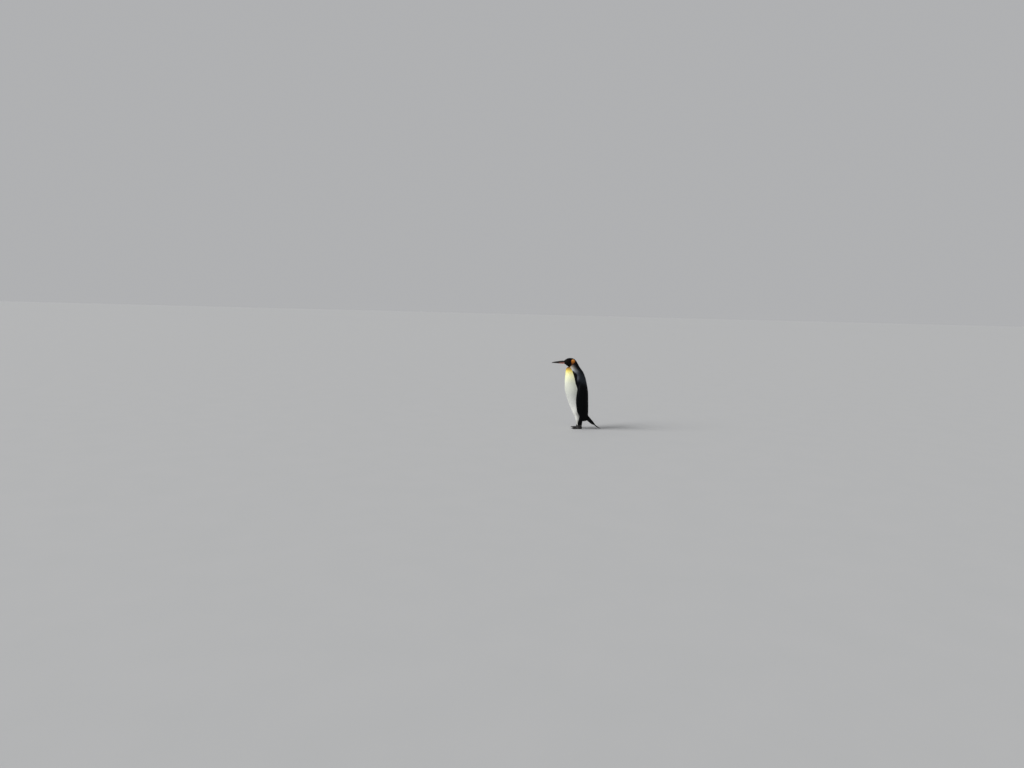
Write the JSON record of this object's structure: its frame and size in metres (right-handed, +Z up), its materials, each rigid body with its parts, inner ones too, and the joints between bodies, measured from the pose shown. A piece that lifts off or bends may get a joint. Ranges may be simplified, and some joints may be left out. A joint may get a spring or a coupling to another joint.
{
  "type": "king penguin",
  "caption": "Life-size king penguin standing still on both feet, head level in profile, flippers down, tail propped on the floor.",
  "frame": {"origin": "on the floor, at the middle of the figure's length and width", "axes": "+Z up, bill towards -Y, the bird's left side towards +X"},
  "size_m": [0.279, 0.602, 0.842],
  "materials": {
    "plumage_black": "short dense feathers",
    "plumage_grey": "short dense feathers",
    "plumage_white": "short dense feathers",
    "plumage_dark": "short stiff feathers",
    "foot_skin": "scaled skin",
    "claw_horn": "worn horn",
    "bill_horn": "satin horn",
    "bill_plate": "satin horn",
    "eye": "wet gloss"
  },
  "bodies": {
    "root": {"head": "plumage_black", "neck": "plumage_grey", "trunk": "plumage_white", "tail": "plumage_dark", "flipper_left": "plumage_dark", "flipper_right": "plumage_dark", "leg_left": "plumage_white", "leg_right": "plumage_white", "foot_left": "foot_skin", "foot_right": "foot_skin", "claw_inner_left": "claw_horn", "claw_middle_left": "claw_horn", "claw_outer_left": "claw_horn", "claw_hallux_left": "claw_horn", "claw_inner_right": "claw_horn", "claw_middle_right": "claw_horn", "claw_outer_right": "claw_horn", "claw_hallux_right": "claw_horn", "bill_upper": "bill_horn", "bill_lower": "bill_horn", "bill_plate_left": "bill_plate", "bill_plate_right": "bill_plate", "eye_left": "eye", "eye_right": "eye"}
  },
  "joints": []
}
